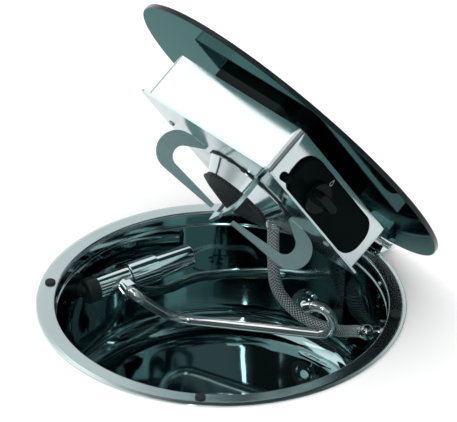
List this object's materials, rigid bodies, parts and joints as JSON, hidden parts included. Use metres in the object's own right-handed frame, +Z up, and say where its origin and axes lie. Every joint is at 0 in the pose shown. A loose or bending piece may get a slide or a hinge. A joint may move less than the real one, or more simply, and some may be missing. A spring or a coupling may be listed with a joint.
{
  "type": "hob and sink combination",
  "caption": "Round drop-in steel sink with a folding tap and a hinged dark glass lid that carries a gas hob with its burner, knob and pan supports on its underside",
  "frame": {"origin": "centre of the round rim on the worktop plane", "axes": "+Z up out of the bowl, +X to the lid hinge, -Y to the user, +Y to the tap"},
  "size_m": [0.4356, 0.429, 0.5843],
  "materials": {
    "polished_steel": "polished stainless steel",
    "chrome": "bright chrome plate",
    "black_plastic": "moulded black",
    "black_rubber": "moulded rubber",
    "dark_glass": "dark tinted toughened glass with a ground edge",
    "black_enamel": "vitreous enamel",
    "cast_alloy": "die cast",
    "brass": "turned",
    "copper_pipe": "drawn tube",
    "ceramic": "glazed ceramic",
    "grey_plastic": "moulded waste fitting",
    "zinc": "zinc plated",
    "braid": "stainless braid over rubber"
  },
  "bodies": {
    "root": {"sink_bowl": "polished_steel", "rim_seal": "black_rubber", "rim_bumpers": "black_rubber", "clamp_brackets": "zinc", "clamp_screws": "zinc", "waste_strainer": "polished_steel", "waste_seal": "black_rubber", "waste_body": "grey_plastic", "waste_nut": "grey_plastic", "overflow_rosette": "chrome", "overflow_nut": "grey_plastic", "gas_elbow": "brass", "gas_elbow_nut": "brass", "gas_tail": "copper_pipe", "gas_hose": "braid", "wall_ferrule": "chrome", "hinge_base": "black_enamel", "hinge_rivets": "chrome", "hinge_pin": "chrome", "tap_mount": "black_plastic", "tap_back_nut": "brass", "water_tail": "brass", "tap_spindle": "brass"},
    "lid": {"hinge_leaf": "black_enamel", "glass_lid": "dark_glass", "lid_spacers": "black_rubber", "spacer_screws": "zinc", "hob_box": "polished_steel", "plate_brackets": "zinc", "cooktop_plate": "polished_steel", "plate_screws": "zinc", "burner_gasket": "black_rubber", "burner_cup": "polished_steel", "burner_body": "cast_alloy", "burner_ring": "black_enamel", "burner_cap": "black_enamel", "injector": "brass", "injector_holder": "zinc", "burner_pipe": "copper_pipe", "supply_pipe": "copper_pipe", "hose_elbow": "brass", "lid_ferrule": "chrome", "gas_valve": "brass", "control_fascia": "black_plastic", "igniter_body": "black_plastic", "spark_electrode": "ceramic", "thermocouple": "copper_pipe", "pan_support_back_right": "polished_steel", "pan_support_back_left": "polished_steel", "pan_support_front_left": "polished_steel", "pan_support_front_right": "polished_steel"},
    "push_collar": {"push_collar": "chrome"},
    "knob": {"control_knob": "black_plastic", "valve_stem": "brass"},
    "igniter_button": {"igniter_button": "black_plastic"},
    "tap_sleeve": {"tap_sleeve": "chrome", "spout_nut": "chrome"},
    "spout": {"spout_tube": "chrome", "spout_nozzle": "chrome"},
    "tap_handle": {"tap_handle": "chrome"}
  },
  "joints": [
    {"name": "lid_hinge", "type": "hinge", "parent": "root", "child": "lid", "pos_m": [0.222, 0, 0.0065], "axis": [0, 1, 0], "range_deg": [-54.9, 125.1], "deforming": ["gas_hose"]},
    {"name": "knob_push", "type": "slide", "parent": "lid", "child": "push_collar", "axis": [0, 1, 0], "range_m": [0, 0.0025], "stiffness_N_per_m": 1500},
    {"name": "knob_turn", "type": "hinge", "parent": "push_collar", "child": "knob", "pos_m": [0.03948, -0.12, 0.18012], "axis": [0, -1, 0], "range_deg": [0, 210]},
    {"name": "igniter_push", "type": "slide", "parent": "lid", "child": "igniter_button", "axis": [0, 1, 0], "range_m": [0, 0.003], "stiffness_N_per_m": 900},
    {"name": "spout_fold", "type": "hinge", "parent": "root", "child": "tap_sleeve", "pos_m": [-0.047, 0.16, -0.04], "axis": [-0.9951, 0.0988, 0], "range_deg": [0, 48]},
    {"name": "spout_swivel", "type": "hinge", "parent": "tap_sleeve", "child": "spout", "pos_m": [-0.02511, 0.15782, -0.04], "axis": [-0.0988, -0.9951, 0], "range_deg": [0, 25]},
    {"name": "handle_turn", "type": "hinge", "parent": "root", "child": "tap_handle", "pos_m": [-0.047, 0.16, -0.04], "axis": [0.9951, -0.0988, 0], "range_deg": [0, 90]}
  ]
}
